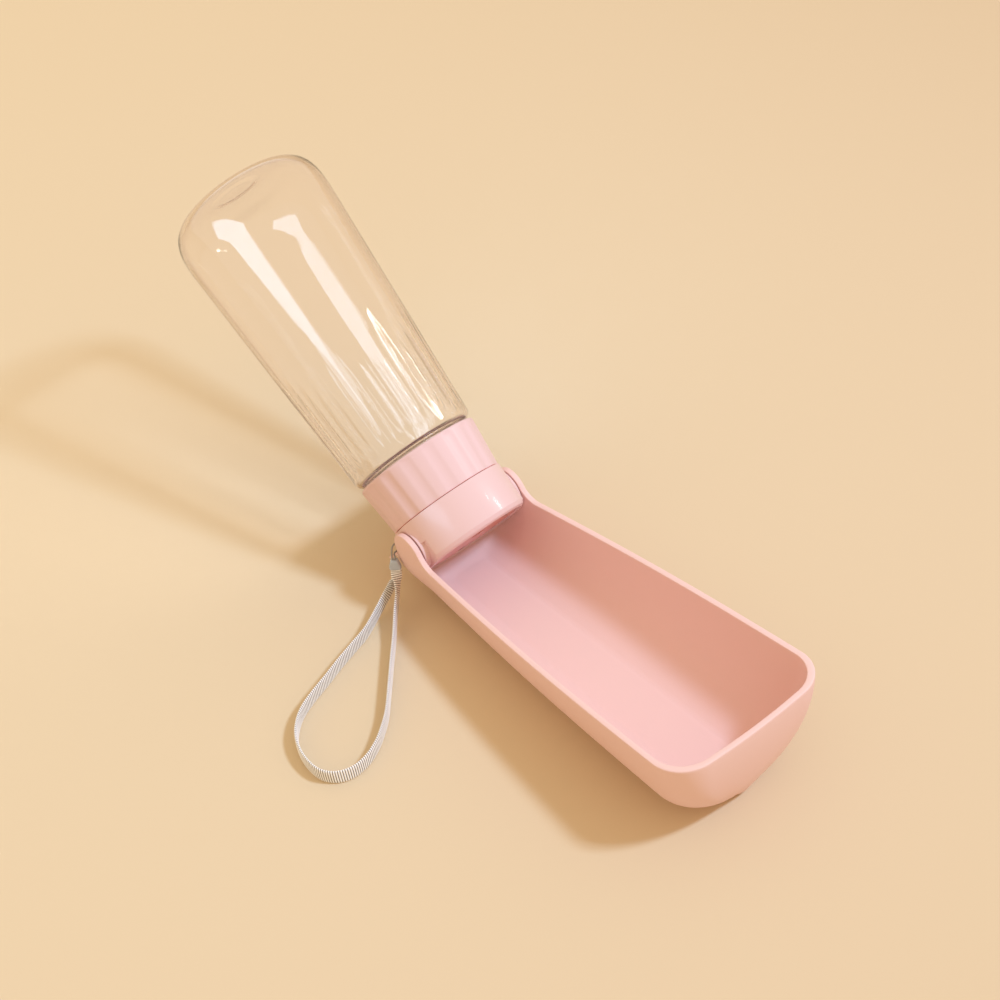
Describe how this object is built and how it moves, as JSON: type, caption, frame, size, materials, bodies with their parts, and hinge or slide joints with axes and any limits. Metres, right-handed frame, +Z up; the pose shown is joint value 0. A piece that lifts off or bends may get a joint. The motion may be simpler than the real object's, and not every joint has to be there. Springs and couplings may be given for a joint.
{
  "type": "dog travel water bottle",
  "caption": "Folding dog travel water bottle: a clear tapered bottle with a fluted twist collar, hinged to a long drinking trough, with a woven wrist strap.",
  "frame": {"origin": "on the floor under the hinge axis, at the trough's flat back, half-way across its width", "axes": "+X along the open trough away from the hinge, +Y along the hinge axis, +Z up"},
  "size_m": [0.3166, 0.1478, 0.1493],
  "materials": {
    "trough_plastic": "satin",
    "head_plastic": "glossy",
    "collar_plastic": "glossy",
    "inner_plastic": "satin",
    "bottle_plastic": "clear",
    "clear_silicone": "satin",
    "dark_rubber": "matte",
    "pin_steel": "brushed",
    "clip_plastic": "matte",
    "strap_fabric": "woven"
  },
  "bodies": {
    "trough": {"trough": "trough_plastic", "hinge_pin_left": "pin_steel", "hinge_pin_right": "pin_steel", "strap_clip": "clip_plastic", "strap_thread": "strap_fabric", "strap_loop": "strap_fabric"},
    "head": {"head_shell": "head_plastic", "outlet_plate": "inner_plastic", "outlet_screws": "pin_steel", "port_seal": "clear_silicone", "stop_pin": "pin_steel", "hinge_washer_left": "clear_silicone", "hinge_washer_right": "clear_silicone"},
    "collar": {"collar_shell": "collar_plastic", "collar_core": "inner_plastic", "valve_disc": "inner_plastic", "hub_o_ring": "dark_rubber", "retaining_ring": "pin_steel", "air_valve": "dark_rubber"},
    "gasket": {"neck_gasket": "clear_silicone"},
    "bottle": {"bottle": "bottle_plastic"}
  },
  "joints": [
    {"name": "bottle_fold", "type": "hinge", "parent": "trough", "child": "head", "pos_m": [0, 0, 0.02985], "axis": [0, 1, 0], "range_deg": [0, 137.2]},
    {"name": "collar_twist", "type": "hinge", "parent": "head", "child": "collar", "pos_m": [0, 0, 0.02985], "axis": [-0.7989, 0, 0.6014], "range_deg": [0, 90]},
    {"name": "bottle_unscrew", "type": "hinge", "parent": "collar", "child": "gasket", "pos_m": [0, 0, 0.02985], "axis": [-0.7989, 0, 0.6014], "range_deg": [0, 180]},
    {"name": "bottle_lift", "type": "slide", "parent": "gasket", "child": "bottle", "axis": [-0.7989, 0, 0.6014], "range_m": [0, 0.0015]}
  ],
  "couplings": [
    {"joint": "bottle_unscrew", "follows": "bottle_lift", "rad_per_m": 2094.4}
  ]
}
